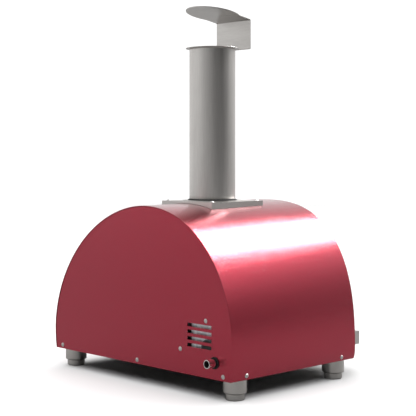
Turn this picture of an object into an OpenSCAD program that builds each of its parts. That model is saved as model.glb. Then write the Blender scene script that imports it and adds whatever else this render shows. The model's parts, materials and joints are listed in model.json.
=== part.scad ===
// Countertop gas pizza oven: an arched red sheet body on four levelling feet,
// a lined and insulated baking chamber, a side burner and a flue with a rain cap.
// The mouth faces -Y, +X is the oven's own left and +Z is up.
// The origin is under the middle of the footprint.

/* [Body] */
// Width across the vault at its rear end
body_w = 557; // [460:1:670]
// Depth from the rear panel to the front facade
body_d = 370; // [320:1:450]
// Height of the vault's crown above the base, at the rear end
arch_h = 327.5; // [280:0.5:395]
// How far the crown stands towards the burner side
crown_off = 26.4; // [0:0.2:40]
// Extra half width of the vault at its front end
flare = 2.5; // [0:0.1:6]
// Extra height of the crown at its front end
rise = 3.5; // [0:0.1:6]
// How far the vault tucks in at its bottom edge
tuck = 4; // [0:0.1:6]
// Thickness of the body's sheet steel
sheet = 1.5; // [1:0.1:2.4]
// Gap between a panel's edge and the sheet that it sits in
panel_gap = 0.5; // [0.3:0.1:1]
// How far the rear panel and the facade stand inside the vault's ends
panel_recess = 1; // [0.5:0.1:3]

/* [Feet] */
// Height of the feet, from the table to the base
foot_h = 40; // [32:1:50]
// Diameter of a foot's sleeve
foot_d = 47; // [38:1:60]
// Diameter of the levelling pad under the sleeve
pad_d = 38.6; // [30:0.2:46]
// Height of the pad below the sleeve
pad_h = 12.5; // [9:0.5:16]
// Distance from a foot's centre to the body's side
foot_in_x = 28; // [26:1:60]
// Distance from a foot's centre to the body's rear and front
foot_in_y = 37; // [30:1:70]
// Radius of a levelling screw
stem_r = 5; // [4:0.5:8]
// Radial clearance of a running fit
run_gap = 0.06; // [0.03:0.01:0.1]

/* [Chamber] */
// Thickness of the ceramic fibre blanket
blanket_t = 36; // [28:1:46]
// Height of the hearth above the base
hearth_z = 49.5; // [44:0.5:62]
// Thickness of a hearth tile
tile_t = 18; // [12:1:22]
// Depth of the space behind the chamber
rear_space = 46; // [44:1:60]
// Width of the mouth
mouth_w = 372; // [300:1:400]
// Height of the mouth above the hearth
mouth_h = 150; // [120:1:180]
// Width of the trim round the mouth
trim_w = 14; // [8:1:20]
// How far the mouth trim stands out of the facade
trim_out = 9; // [4:1:14]

/* [Shelf] */
// Width of the front shelf
shelf_w = 494; // [420:1:500]
// How far the shelf stands out of the body
shelf_out = 57.5; // [48:0.5:80]
// Height of the shelf's skirt
skirt_h = 28.5; // [27:0.5:34]

/* [Flue] */
// Outer diameter of the flue pipe
flue_d = 100; // [80:1:120]
// Wall of the flue pipe and of its spigot
flue_wall = 1.5; // [1:0.1:2]
// Length of the flue pipe
flue_l = 325; // [270:1:400]
// Width of the square plate under the flue
plate_w = 155; // [140:1:190]
// Height of the plate's folded edge
plate_h = 15; // [12:1:22]
// Clearance between a flue piece and its spigot
slip_gap = 0.3; // [0.2:0.1:0.8]
// How far the spigot reaches into the pipe
spigot_h = 50; // [30:1:70]

/* [Rain cap] */
// Radius of the cap's ring on the pipe
ring_r = 58; // [56:1:72]
// Width of the upright strap
strap_w = 104; // [80:1:112]
// Distance from the flue's axis to the strap
strap_off = 66; // [62:1:78]
// Height of the strap
strap_h = 66; // [50:1:90]
// Radius of the round lid
lid_r = 60; // [56:1:76]
// Angle that the lid rises
lid_tilt = 10; // [0:1:20]
// Thickness of the cap's sheet
cap_t = 1.5; // [1:0.1:2.5]

/* [Gas] */
// Distance from the burner's axis to the middle of the body
burner_x = 196; // [180:1:200]
// Height of the burner's axis above the base
burner_z = 76; // [70:1:84]
// Radius of the burner tube
burner_r = 14; // [10:0.5:16]
// Distance from the gas inlet to the middle of the body
inlet_x = 231; // [226:1:234]
// Height of the gas inlet above the base
inlet_z = 32; // [30:1:34]
// Radius of the inlet nipple
inlet_r = 8.5; // [7:0.1:9]
// How far the inlet nipple stands out of the rear panel
inlet_out = 21; // [16:1:26]
// Radius of the gas tubes
tube_r = 4; // [3:0.5:4.5]
// Diameter of the control knob
knob_d = 26; // [22:1:27]
// How far the knob stands out of the shelf
knob_out = 18; // [14:1:24]

/* [Louvres] */
// Number of louvre slots
slot_count = 4; // [2:1:5]
// Length of a louvre slot
slot_l = 68; // [50:1:80]
// Height of a louvre slot
slot_h = 7; // [4:0.5:9]
// Distance from slot to slot
slot_pitch = 13.2; // [11:0.1:15]
// Distance from the louvres' middle to the middle of the body
louvre_x = 188; // [176:1:192]
// Height of the louvres' middle above the base
louvre_z = 78.5; // [74:0.5:84]

/* [Fasteners] */
// Radius of a screw's shank
screw_r = 2; // [1.5:0.1:2.5]
// Radius of a domed screw head
head_r = 4.6; // [3.5:0.1:6]
// Height of a domed screw head
head_h = 2.6; // [1.5:0.1:4]
// Height of the bottom row of screws above the base
screw_z = 8; // [7:0.5:9]

/* [Hidden] */

front_out = shelf_out + knob_out;
yr = (body_d + front_out - inlet_out) / 2;      // rear end of the body
yf = yr - body_d;                               // front end of the body
zb = foot_h;                                    // underside of the body
half_w = body_w / 2;
arch_steps = 36;                                // segments from a vault's side to its crown
flue_x = -crown_off - 3.6;
flue_y = (yr + yf) / 2 - 7;
spring_left = 44.8;                             // height where the rear arch starts to curve
spring_right = 61.3;
spring_front = 20;
power_left = 1.88;                              // roundness of the arch: 2 is an ellipse
power_right = 2.07;
power_front_left = 2.3;
power_front_right = 2.55;
air = 0.3;                                      // gap between pieces that don't touch
blanket_off = sheet + 1.5;                      // from the vault's face to the blanket
liner_off = blanket_off + blanket_t + 0.5;      // from the vault's face to the inner vault
wall_off = liner_off + sheet + air;             // from the vault's face to the inner end walls
pan_z = hearth_z - tile_t - sheet;              // underside of the hearth pan
inner_yr = yr - rear_space;                     // chamber side of the inner rear wall
inner_yf = yf + 14;                             // chamber side of the inner front wall
crown_z = arch_h + rise;
plate_z = crown_z + 0.5;                        // underside of the flue plate
spigot_r = flue_d / 2 - flue_wall - slip_gap;
flange_r = flue_d / 2 + 14;
flange_z = plate_z + sheet;
gasket_t = 2;
cap_bend = 3;                                   // outer radius of the cap's bends
plate_screw_l = 20;                             // long enough to reach through the vault's sheet
pipe_z = flange_z + sheet + gasket_t + 0.2;
ring_z = pipe_z + flue_l + 0.2;
foot_x = half_w - foot_in_x;
foot_yr = yr - foot_in_y;
foot_yf = yf + foot_in_y;
box_x0 = -inlet_x - 14;                         // the burner box behind the louvres
box_x1 = -burner_x + 70;
box_z1 = burner_z + 42;
box_z0 = sheet + 10;
shelf_y = yf - shelf_out;                       // front face of the shelf
valve_z = hearth_z - skirt_h / 2 - sheet / 2;
valve_x = -burner_x;
valve_y = yf - 24;                              // rear face of the valve, where its tubes enter
button_x = valve_x + 46;
tube_z = pan_z - tube_r - 4;                    // height of the tubes under the hearth
feed_x = -inlet_x + 21;
lead_r = 1.5;
spark_x = -burner_x + 19;                       // the spark electrode, between burner and guard
spark_z = burner_z + 8;
probe_x = -burner_x - 24;                       // the thermocouple on its other side
probe_z = burner_z + 4;
meter_x = mouth_w / 2 + trim_w + 30;
meter_z = 118;
meter_r = 22;
guard_x = -burner_x + burner_r + 12;
tile_gap = 1;
$fn = 64;

function mix(a, b, k) = a + (b - a) * k;
function spring(s, k) = mix(s > 0 ? spring_left : spring_right, spring_front, k);
function power(s, k) = s > 0 ? mix(power_left, power_front_left, k) : mix(power_right, power_front_right, k);
function reach(s, k) = half_w + k * flare + s * crown_off;
function along(y) = (yr - y) / body_d;          // 0 at the rear end, 1 at the front end

// One side of the arch, from the bottom to the crown: s is the side, k the place along the depth
// and t how far inside the outer face it runs.
function arch_side(s, k, t, low) = let (
    r = reach(s, k) - t, z0 = spring(s, k), h = arch_h + k * rise - t - z0, p = 2 / power(s, k),
    u0 = low > z0 ? asin(pow((low - z0) / h, 1 / p)) : 0)
    concat([for (i = [0:3]) if (low < z0) let (z = mix(low, z0, i / 4), q = (z0 - z) / z0)
            [-crown_off + s * (r - tuck * q * q), z]],
        [for (i = [0:arch_steps]) let (u = mix(u0, 90, i / arch_steps))
            [-crown_off + s * r * pow(cos(u), p), z0 + h * pow(sin(u), p)]]);
function arch_points(k, t, low) = let (
    right = arch_side(-1, k, t, low), left = arch_side(1, k, t, low), n = len(left))
    concat(right, [for (i = [n - 2:-1:0]) left[i]]);

// Half width of the vault's outer face at a height below the spring line
function wall_x(s, y, z) = let (q = max(0, 1 - z / spring(s, along(y))))
    s * (half_w + along(y) * flare - tuck * q * q);

// An arched slab from y towards the front, d deep, standing on the height low above the base
module arch_slab(y, d, k, t, low = 0)
    translate([0, y, zb]) rotate([90, 0, 0]) linear_extrude(d) polygon(arch_points(k, t, low));

// The space inside the vault's face at the depth t, past both ends by past
module vault_solid(t, low = 0, past = 0) {
    hull() {
        arch_slab(yr + past, 0.2, 0, t, low);
        arch_slab(yf - past + 0.2, 0.2, 1, t, low);
    }
}

module block(low, high) translate(low) cube(high - low);

// Rods along one axis
module rod_y(x, y, z, r, l) translate([x, y, z]) rotate([90, 0, 0]) cylinder(r = r, h = l);
module rod_x(x, y, z, r, l) translate([x, y, z]) rotate([0, 90, 0]) cylinder(r = r, h = l);

// A round tube or wire through a list of points
module run(points, r) {
    for (i = [0:len(points) - 2]) {
        a = points[i];
        v = points[i + 1] - a;
        l = norm(v);
        translate(a) rotate([0, acos(v[2] / l), atan2(v[1], v[0])]) cylinder(r = r, h = l, $fn = 24);
    }
    // the knees stand a hair proud, so that they aren't tangent to the tubes
    for (i = [1:len(points) - 2]) translate(points[i]) sphere(r = r + 0.1, $fn = 24);
}

// A screw along +Z: a domed head on the plane z = 0 and its shank below
module screw(l) {
    translate([0, 0, -l]) cylinder(r = screw_r, h = l + 0.5, $fn = 24);
    intersection() {
        translate([-head_r, -head_r, 0]) cube([2 * head_r, 2 * head_r, head_h]);
        translate([0, 0, head_h - (head_r * head_r + head_h * head_h) / (2 * head_h)])
            sphere(r = (head_r * head_r + head_h * head_h) / (2 * head_h), $fn = 48);
    }
}
module screw_hole(l) translate([0, 0, -l]) cylinder(r = screw_r + air, h = 2 * l, $fn = 24);

// The mouth's outline, grown by g
module mouth_2d(g, low) {
    n = 28;
    p = 2 / 2.3;
    polygon(concat([[mouth_w / 2 + g, low]],
        [for (i = [0:2 * n]) let (u = 90 * i / n, c = cos(u))
            [(mouth_w / 2 + g) * sign(c) * pow(abs(c), p), hearth_z + (mouth_h + g) * pow(abs(sin(u)), p)]],
        [[-mouth_w / 2 - g, low]]));
}
module mouth_cut(y, d, g, low) translate([0, y, zb]) rotate([90, 0, 0]) linear_extrude(d) mouth_2d(g, low);

module at_rear_screws()
    for (p = [[-half_w + 25, screw_z], [-crown_off / 12, screw_z], [half_w - 26, screw_z],
            [-louvre_x - 18, louvre_z + 31.5], [-louvre_x + 54, louvre_z - 31]])
        translate([p[0], yr - panel_recess, zb + p[1]]) rotate([-90, 0, 0]) children();
module at_side_screws()
    for (s = [-1, 1]) for (y = [yr - 43, yf + 43])
        translate([wall_x(s, y, screw_z) + s * 0.1, y, zb + screw_z]) rotate([0, s * 90, 0]) children();
module at_plate_screws()
    for (a = [-1, 1]) for (b = [-1, 1])
        translate([flue_x + a * (plate_w / 2 - 10), flue_y + b * (plate_w / 2 - 10), zb + flange_z])
            children();
module at_facade_screws()
    for (p = [[-half_w + 26, screw_z], [half_w - 26, screw_z], [-mouth_w / 2 - 30, hearth_z + 104],
            [mouth_w / 2 + 6, hearth_z + 150], [-crown_off, (crown_z + hearth_z + mouth_h + trim_w) / 2]])
        translate([p[0], yf + panel_recess, zb + p[1]]) rotate([90, 0, 0]) children();

module base_tray() color("dimgray") {
    w = half_w - tuck - sheet - panel_gap;
    y1 = yr - panel_recess - sheet - air;
    y0 = yf + panel_recess + sheet + air;
    h = screw_z + 7;
    difference() {
        block([-w, y0, zb], [w, y1, zb + h]);
        block([-w + sheet, y0 + sheet, zb + sheet], [w - sheet, y1 - sheet, zb + h + 1]);
        at_side_screws() screw_hole(12);
        at_rear_screws() screw_hole(12);
        at_facade_screws() screw_hole(12);
    }
}

module outer_vault() color("crimson") difference() {
    vault_solid(0);
    vault_solid(sheet, -2, 2);
    translate([flue_x, flue_y, zb + crown_z - 60]) cylinder(r = spigot_r + 8, h = 80);
    at_side_screws() {
        screw_hole(6);
        cylinder(r = head_r + air, h = 2 * head_h, $fn = 48);
    }
    at_plate_screws() screw_hole(plate_screw_l + 10);
}

module rear_panel() color("firebrick") difference() {
    arch_slab(yr - panel_recess, sheet, 0, sheet + panel_gap);
    for (i = [0:slot_count - 1])
        translate([-louvre_x - slot_l / 2, yr - 10, zb + louvre_z + (i - (slot_count - 1) / 2) * slot_pitch
                - slot_h / 2]) cube([slot_l, 20, slot_h]);
    rod_y(-inlet_x, yr + 5, zb + inlet_z, inlet_r + 2.4, 20);
    at_rear_screws() screw_hole(12);
}

module front_facade() color("lightgray") difference() {
    arch_slab(yf + panel_recess + sheet, sheet, 1, sheet + panel_gap);
    mouth_cut(yf + 20, 40, air, hearth_z - sheet - 2 * air);
    for (x = [-inlet_x, feed_x]) rod_y(x, yf + 10, zb + tube_z, tube_r + 1, 20);
    rod_y(button_x, yf + 10, zb + tube_z, lead_r + 1, 20);
    rod_y(-inlet_x + 9.5, yf + 10, zb + tube_z, 2, 20);
    rod_y(meter_x, yf + 10, zb + meter_z, 6, 20);
    at_facade_screws() screw_hole(12);
}

module mouth_trim() color("silver") difference() {
    union() {
        mouth_cut(yf + panel_recess - 0.1, trim_out, trim_w, hearth_z);
        mouth_cut(inner_yf - 0.2, inner_yf - yf, 0, hearth_z);
    }
    mouth_cut(yf + 30, 60, -sheet, hearth_z - 1);
}

module front_shelf() color("silver") difference() {
    z1 = zb + hearth_z - air;
    union() {
        block([-shelf_w / 2, shelf_y, z1 - skirt_h], [shelf_w / 2, yf + panel_recess - 0.1, z1]);
        // the sill, which reaches through the mouth to the hearth tiles
        block([-mouth_w / 2 + 1, yf - 1, z1 - sheet], [mouth_w / 2 - 1, inner_yf + sheet + 1.5, z1]);
    }
    block([-shelf_w / 2 + sheet, shelf_y + sheet, z1 - skirt_h - 1],
        [shelf_w / 2 - sheet, inner_yf + 10, z1 - sheet]);
    rod_y(valve_x, shelf_y + 10, zb + valve_z, 4.5, 20);
    rod_y(button_x, shelf_y + 10, zb + valve_z, 7 + air, 20);
}

module inner_vault() color("gainsboro") difference() {
    arch_slab(inner_yr, inner_yr - inner_yf, 0, liner_off, pan_z + sheet);
    arch_slab(inner_yr + 1, inner_yr - inner_yf + 2, 0, liner_off + sheet, pan_z);
    translate([flue_x, flue_y, zb + crown_z - liner_off - 60]) cylinder(r = spigot_r + air, h = 80);
}

module inner_rear_wall() color("gainsboro") difference() {
    arch_slab(inner_yr - 0.2, sheet, 0, wall_off, pan_z + sheet);
    rod_y(-burner_x, inner_yr + 10, zb + burner_z, burner_r + air, 20);
    rod_y(spark_x, inner_yr + 10, zb + spark_z, 3 + air, 20);
    rod_y(probe_x, inner_yr + 10, zb + probe_z, 2 + air, 20);
}

module inner_front_wall() color("gainsboro") difference() {
    arch_slab(inner_yf + sheet + 0.2, sheet, 0, wall_off, pan_z + sheet);
    mouth_cut(inner_yf + 10, 20, 0, hearth_z - 40);
    rod_y(meter_x, yf + 60, zb + meter_z, 5 + air, 60);
}

module fibre_blanket() color("whitesmoke") difference() {
    y1 = yr - rear_space;
    arch_slab(y1, y1 - yf - 4, 0, blanket_off, hearth_z);
    arch_slab(y1 + 1, y1 - yf, 0, liner_off - 0.2, hearth_z - 1);
    translate([flue_x, flue_y, zb + crown_z - liner_off - 20]) cylinder(r = spigot_r + 4, h = 80);
    rod_y(meter_x, yf + 60, zb + meter_z, 8, 60);
    at_plate_screws() translate([0, 0, -plate_screw_l - 3]) cylinder(r = screw_r + 2, h = 40, $fn = 24);
    at_facade_screws() screw_hole(12);
}

module rear_insulation() color("whitesmoke") difference() {
    arch_slab(yr - 20, rear_space - 21, 0, blanket_off, pan_z);
    block([box_x0 - 40, inner_yr - 1, zb], [box_x1 + 1, yr, zb + box_z1 + 1]);
}

module floor_insulation() color("linen")
    block([box_x1 + 1, inner_yf + 2 * sheet, zb + sheet + 0.5],
        [half_w - liner_off - sheet - air, inner_yr - 2, zb + pan_z]);

module hearth_pan() color("silver") {
    w = half_w - liner_off;
    block([-w, inner_yf + 2 * sheet, zb + pan_z], [w, inner_yr, zb + pan_z + sheet]);
    // folded legs that stand on the tray beside the tubes' channel
    block([-w, inner_yf + 2 * sheet, zb + sheet], [-w + sheet, inner_yr, zb + pan_z]);
    block([w - sheet, inner_yf + 2 * sheet, zb + sheet], [w, inner_yr, zb + pan_z]);
}

// One of the two hearth tiles: a is the side
module hearth_tile(a) {
    x0 = guard_x + 2.5;
    x1 = half_w - wall_off - 2;
    w = (x1 - x0 - tile_gap) / 2;
    x = a > 0 ? x0 + w + tile_gap : x0;
    block([x, inner_yf + sheet + 2, zb + hearth_z - tile_t], [x + w, inner_yr - sheet - 2, zb + hearth_z]);
}
module hearth_tile_left() color("tan") hearth_tile(1);
module hearth_tile_right() color("tan") hearth_tile(-1);

module flame_guard() color("silver") difference() {
    z0 = zb + pan_z + sheet;
    y0 = inner_yf + sheet + 4;
    y1 = inner_yr - sheet - 4;
    union() {
        block([guard_x, y0, z0], [guard_x + sheet, y1, zb + burner_z + 14]);
        block([guard_x - 30, y0, z0], [guard_x, y1, z0 + sheet]);
    }
    for (i = [0:6]) rod_x(guard_x - 5, mix(y0 + 24, y1 - 24, i / 6), zb + burner_z - 2, 5, 12);
}

module flue_plate() color("darkgray") difference() {
    block([flue_x - plate_w / 2, flue_y - plate_w / 2, zb + flange_z - plate_h],
        [flue_x + plate_w / 2, flue_y + plate_w / 2, zb + flange_z]);
    block([flue_x - plate_w / 2 + sheet, flue_y - plate_w / 2 + sheet, zb + flange_z - plate_h - 1],
        [flue_x + plate_w / 2 - sheet, flue_y + plate_w / 2 - sheet, zb + plate_z]);
    vault_solid(-air, 0, 5);
    translate([flue_x, flue_y, zb]) cylinder(r = spigot_r + air, h = 500);
    at_plate_screws() screw_hole(8);
}

module flue_spigot() color("darkgray") difference() {
    z0 = crown_z - liner_off - 14;
    translate([flue_x, flue_y, zb + z0]) cylinder(r = spigot_r, h = flange_z + spigot_h - z0);
    translate([flue_x, flue_y, zb + z0 - 1])
        cylinder(r = spigot_r - flue_wall, h = flange_z + spigot_h - z0 + 2);
}

module spigot_flange() color("darkgray") translate([flue_x, flue_y, zb + flange_z]) difference() {
    cylinder(r = flange_r, h = sheet);
    translate([0, 0, -1]) cylinder(r = spigot_r + air / 2, h = sheet + 2);
}

module flue_gasket() color("dimgray") translate([flue_x, flue_y, zb + flange_z + sheet]) difference() {
    cylinder(r = flue_d / 2 + 3, h = gasket_t);
    translate([0, 0, -1]) cylinder(r = spigot_r + 0.6, h = gasket_t + 2);
}

module flue_pipe() color("silver") translate([flue_x, flue_y, zb + pipe_z]) difference() {
    cylinder(r = flue_d / 2, h = flue_l, $fn = 96);
    translate([0, 0, -1]) cylinder(r = flue_d / 2 - flue_wall, h = flue_l + 2, $fn = 96);
}

// Points along an arc, in degrees
function arc(c, r, a0, a1, n = 6) =
    [for (i = [0:n]) let (a = mix(a0, a1, i / n)) c + r * [cos(a), sin(a)]];

// The cap's folded sheet from the side, as [y, z]: from the ring, round the bend, up the strap and to the lid
function cap_side(low, high, lid) = let (
    n = [-sin(lid_tilt), cos(lid_tilt)], d = [cos(lid_tilt), sin(lid_tilt)])
    concat([[-ring_r / 3, 0]], arc(low, cap_bend, 270, 180), arc(high, cap_bend, 180, 90 + lid_tilt),
        [high + cap_bend * n + lid * d, high + (cap_bend - cap_t) * n + lid * d],
        arc(high, cap_bend - cap_t, 90 + lid_tilt, 180), arc(low, cap_bend - cap_t, 180, 270),
        [[-ring_r / 3, cap_t]]);

module rain_cap() color("silver") translate([flue_x, flue_y, zb + ring_z]) {
    low = [cap_bend - strap_off, cap_bend];
    high = [cap_bend - strap_off, strap_h - cap_bend];
    difference() {
        union() {
            cylinder(r = ring_r, h = cap_t);
            translate([-strap_w / 2, 0, 0]) rotate([90, 0, 90]) linear_extrude(strap_w)
                polygon(cap_side(low, high, lid_r));
            translate([0, 0, -18]) cylinder(r = spigot_r, h = 18.5);
            translate([0, high[0], high[1]]) rotate([lid_tilt, 0, 0])
                translate([0, lid_r + 2, cap_bend - cap_t]) cylinder(r = lid_r, h = cap_t, $fn = 96);
        }
        translate([0, 0, -20]) cylinder(r = spigot_r - flue_wall, h = 30);
    }
}

module foot(x, y) color("silver") translate([x, y, pad_h + 0.5]) difference() {
    rim = 2;
    h = foot_h - pad_h - 0.5;
    union() {
        translate([0, 0, rim]) cylinder(d = foot_d, h = h - rim);
        cylinder(d1 = foot_d - 2 * rim, d2 = foot_d, h = rim);
    }
    translate([0, 0, -1]) cylinder(r = stem_r + run_gap, h = h - 2);
}
module pad(x, y) color("gray") translate([x, y, 0]) {
    cylinder(d = pad_d, h = pad_h);
    translate([0, 0, pad_h - 1]) cylinder(r = stem_r, h = foot_h - pad_h - 4);
}
module foot_rear_right() foot(-foot_x, foot_yr);
module foot_rear_left() foot(foot_x, foot_yr);
module foot_front_right() foot(-foot_x, foot_yf);
module foot_front_left() foot(foot_x, foot_yf);
module pad_rear_right() pad(-foot_x, foot_yr);
module pad_rear_left() pad(foot_x, foot_yr);
module pad_front_right() pad(-foot_x, foot_yf);
module pad_front_left() pad(foot_x, foot_yf);

module burner_box() color("lightsteelblue") difference() {
    y0 = inner_yr + 0.3;
    y1 = yr - 8;
    block([box_x0, y0, zb + box_z0], [box_x1, y1, zb + box_z1]);
    block([box_x0 + 1, y0 + 1, zb + box_z0 + 1], [box_x1 - 1, y1 + 1, zb + box_z1 - 1]);
    rod_y(-burner_x, y0 + 5, zb + burner_z, burner_r + air, 20);
    rod_y(spark_x, y0 + 5, zb + spark_z, 3 + air, 20);
    rod_y(probe_x, y0 + 5, zb + probe_z, 2 + air, 20);
    for (x = [-inlet_x, feed_x]) rod_y(x, y0 + 5, zb + tube_z, tube_r + 0.5, 20);
    rod_y(button_x, y0 + 5, zb + tube_z, lead_r + 0.5, 20);
    rod_y(-inlet_x + 9.5, y0 + 5, zb + tube_z, 1.75, 20);
}

module louvre_baffle() color("lightsteelblue") difference() {
    y = yr - panel_recess - sheet;
    x0 = -louvre_x - slot_l / 2 - 8;
    x1 = -louvre_x + slot_l / 2 - 4;
    union() {
        block([x0, y - 7, zb + louvre_z - 26], [x1, y - 6, zb + louvre_z + 38]);
        block([x0, y - 7, zb + louvre_z + 37], [x1, y - 0.1, zb + louvre_z + 38]);
        block([x0, y - 1.1, zb + louvre_z + 26], [x0 + 24, y - 0.1, zb + louvre_z + 38]);
    }
    at_rear_screws() screw_hole(8);
}

module burner_tube() color("silver") difference() {
    y1 = inner_yr + 8;
    y0 = inner_yf + 24;
    union() {
        rod_y(-burner_x, y1, zb + burner_z, burner_r, y1 - y0);
        rod_y(-burner_x, y1 + 8, zb + burner_z, burner_r + 3, 8);
    }
    rod_y(-burner_x, y1 + 9, zb + burner_z, burner_r - 1.5, y1 - y0 + 7);
    for (i = [0:12]) for (a = [-1, 1])
        translate([-burner_x + a * 4, mix(inner_yr - 30, y0 + 10, i / 12), zb + burner_z])
            cylinder(r = 2, h = 20, $fn = 16);
}

module burner_bracket() color("silver") difference() {
    y = inner_yf + 60;
    block([-burner_x - 24, y, zb + pan_z + sheet], [guard_x - 31, y + 2, zb + burner_z + 4]);
    rod_y(-burner_x, y + 5, zb + burner_z, burner_r + 0.1, 10);
    block([-burner_x - 9, y - 1, zb + burner_z], [-burner_x + 9, y + 3, zb + burner_z + 30]);
}

module gas_injector() color("goldenrod") difference() {
    y = inner_yr + 18;
    union() {
        rod_y(-burner_x, y + 4, zb + burner_z, 5.5, 12);
        rod_y(-burner_x, y - 8, zb + burner_z, 3, 6);
    }
    rod_y(-burner_x, y + 2, zb + burner_z, 1, 30);
}

module gas_inlet() color("silver") difference() {
    union() {
        rod_y(-inlet_x, yr + inlet_out, zb + inlet_z, inlet_r, inlet_out - 3);
        rod_y(-inlet_x, yr + 4, zb + inlet_z, inlet_r - 0.4, 12);
        rod_y(-inlet_x, yr - 7, zb + inlet_z, 6, 8);
    }
    rod_y(-inlet_x, yr + inlet_out + 1, zb + inlet_z, inlet_r - 2.2, 21);
}

module inlet_grommet() color("black") difference() {
    y = yr - panel_recess;
    union() {
        rod_y(-inlet_x, y + 2.5, zb + inlet_z, inlet_r + 3.2, 2.5);
        rod_y(-inlet_x, y + 1, zb + inlet_z, inlet_r + 2.2, 1 + sheet);
    }
    rod_y(-inlet_x, y + 10, zb + inlet_z, inlet_r - 0.2, 20);
}

module inlet_nut() color("goldenrod") difference() {
    translate([-inlet_x, yr - panel_recess - sheet - 0.2, zb + inlet_z]) rotate([90, 0, 0])
        cylinder(r = inlet_r + 3.5, h = 5, $fn = 6);
    rod_y(-inlet_x, yr + 5, zb + inlet_z, inlet_r - 0.3, 20);
}

module supply_tube() color("peru") run([[-inlet_x, yr - 15, zb + inlet_z], [-inlet_x, yr - 24, zb + inlet_z],
    [-inlet_x, yr - 37, zb + tube_z], [-inlet_x, yf - 3, zb + tube_z],
    [valve_x - 6, yf - 15, zb + valve_z + 5], [valve_x - 6, valve_y, zb + valve_z + 5]], tube_r);

module burner_feed_tube() color("peru") run([[valve_x + 6, valve_y, zb + valve_z - 5],
    [valve_x + 6, yf - 15, zb + valve_z - 5], [feed_x, yf - 3, zb + tube_z], [feed_x, yr - 34, zb + tube_z],
    [feed_x, yr - 17, zb + tube_z + 16], [-burner_x, yr - 15, zb + burner_z],
    [-burner_x, inner_yr + 22, zb + burner_z]], tube_r - 0.5);

module gas_valve() color("goldenrod") difference() {
    union() {
        block([valve_x - 11, shelf_y + 8, zb + valve_z - 10], [valve_x + 11, valve_y, zb + valve_z + 10]);
        rod_y(valve_x, shelf_y + 8.1, zb + valve_z, 6.5, 8.1 - sheet);
    }
    rod_y(valve_x, shelf_y + 20, zb + valve_z, 3 + run_gap, 30);
}

module valve_stem() color("silver")
    rod_y(valve_x, shelf_y + 14, zb + valve_z, 3, 14 + knob_out - 5);

module control_knob() color("black") difference() {
    union() {
        rod_y(valve_x, shelf_y - 4, zb + valve_z, knob_d / 2, 5);
        rod_y(valve_x, shelf_y - 9, zb + valve_z, knob_d / 2 - 2, knob_out - 9);
        block([valve_x - 1, shelf_y - knob_out, zb + valve_z + knob_d / 2 - 5],
            [valve_x + 1, shelf_y - 6, zb + valve_z + knob_d / 2 - 0.5]);
    }
    rod_y(valve_x, shelf_y, zb + valve_z, 3 + run_gap, knob_out - 4.5);
}

module igniter_body() color("black") difference() {
    union() {
        rod_y(button_x, shelf_y + 34, zb + valve_z, 6.9, 34.5);
        rod_y(button_x, shelf_y - 0.1, zb + valve_z, 9, 1.4);
    }
    rod_y(button_x, shelf_y + 24, zb + valve_z, 4.5 + run_gap, 40);
}
module igniter_button() color("dimgray")
    rod_y(button_x, shelf_y + 16, zb + valve_z, 4.5, 24);

module ignition_lead() color("dimgray") run([[button_x, shelf_y + 34 + lead_r, zb + valve_z],
    [button_x, yf - 10, zb + tube_z], [button_x, inner_yr + 8, zb + tube_z],
    [spark_x, inner_yr + 28, zb + spark_z], [spark_x, inner_yr + 18, zb + spark_z]], lead_r);

module spark_electrode() color("white") {
    rod_y(spark_x, inner_yr + 18, zb + spark_z, 3, 34);
    run([[spark_x, inner_yr - 12, zb + spark_z], [spark_x, inner_yr - 28, zb + spark_z],
        [spark_x - 8, inner_yr - 32, zb + spark_z + 6], [spark_x - 14, inner_yr - 34, zb + spark_z + 8]], 1);
}

module thermocouple() color("silver") {
    x = -inlet_x + 9.5;
    rod_y(probe_x, inner_yr + 16, zb + probe_z, 2, 44);
    run([[probe_x, inner_yr + 12, zb + probe_z], [probe_x, inner_yr + 22, zb + probe_z - 14],
        [x, inner_yr + 12, zb + tube_z + 6], [x, inner_yr + 6, zb + tube_z], [x, yf - 3, zb + tube_z],
        [valve_x - 7, yf - 14, zb + valve_z - 6.5], [valve_x - 7, valve_y, zb + valve_z - 6.5]], 1.25);
}

module thermometer_case() color("silver") difference() {
    union() {
        rod_y(meter_x, yf + panel_recess - 0.1, zb + meter_z, meter_r, 9);
        rod_y(meter_x, yf + 40, zb + meter_z, 5, 42);
    }
    rod_y(meter_x, yf + panel_recess - 2.1, zb + meter_z, meter_r - 1.5, 20);
}
module thermometer_dial() color("white") difference() {
    rod_y(meter_x, yf + panel_recess - 2.2, zb + meter_z, meter_r - 1.7, 1);
    rod_y(meter_x, yf + 10, zb + meter_z, 0.7 + run_gap, 20);
}
module thermometer_needle() color("black") {
    rod_y(meter_x, yf + panel_recess - 3.4, zb + meter_z, 1.8, 1.4);
    rod_y(meter_x, yf + panel_recess - 2.4, zb + meter_z, 0.7, 1.5);
    translate([meter_x, yf + panel_recess - 3.8, zb + meter_z]) rotate([0, -135, 0])
        block([-0.7, -0.6, -4], [0.7, 0, meter_r - 6]);
}
module thermometer_glass() color("lightcyan")
    rod_y(meter_x, yf + panel_recess - 6.6, zb + meter_z, meter_r - 1.7, 1.4);

module rear_screws() color("silver") at_rear_screws() screw(5.5);
module side_screws() color("silver") at_side_screws() screw(5.5);
module plate_screws() color("silver") at_plate_screws() translate([0, 0, 0.05]) screw(plate_screw_l);
module facade_screws() color("silver") at_facade_screws() screw(5.5);

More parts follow.
